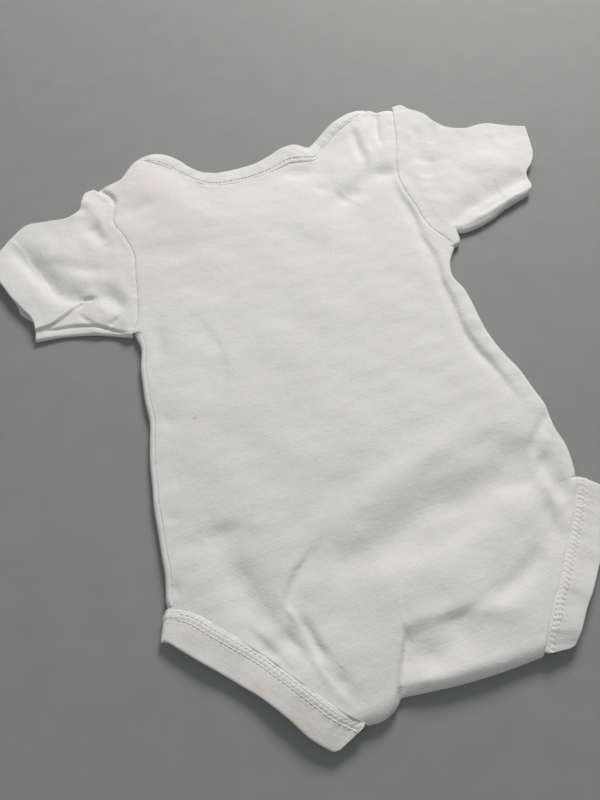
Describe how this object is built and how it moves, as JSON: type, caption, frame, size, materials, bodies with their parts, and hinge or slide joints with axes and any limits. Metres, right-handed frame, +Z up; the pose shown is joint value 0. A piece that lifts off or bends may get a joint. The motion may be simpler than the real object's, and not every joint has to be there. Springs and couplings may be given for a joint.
{
  "type": "baby onesie",
  "caption": "Short-sleeved lap-shoulder baby bodysuit in plain white cotton, laid flat with its back up and snapped at the crotch.",
  "frame": {"origin": "middle of the outline on the surface that the garment lies on", "axes": "+Z up out of the surface, +Y along the back from the crotch to the neck, +X across towards the wearer's right sleeve"},
  "size_m": [0.375, 0.377, 0.0094],
  "materials": {
    "cotton": "warm white cotton interlock knit, soft and matte, slightly pilled",
    "rib": "warm white cotton rib, doubled, matte",
    "snap_metal": "satin nickel-plated snaps"
  },
  "bodies": {
    "root": {"back_panel": "cotton", "front_panel": "cotton", "sleeve_left": "cotton", "sleeve_right": "cotton", "neck_binding_back": "rib", "neck_binding_front": "rib", "leg_band_left": "rib", "leg_band_right": "rib", "snap_cap_1": "snap_metal", "snap_cap_2": "snap_metal", "snap_cap_3": "snap_metal", "snap_stud_1": "snap_metal", "snap_stud_2": "snap_metal", "snap_stud_3": "snap_metal"}
  },
  "joints": []
}
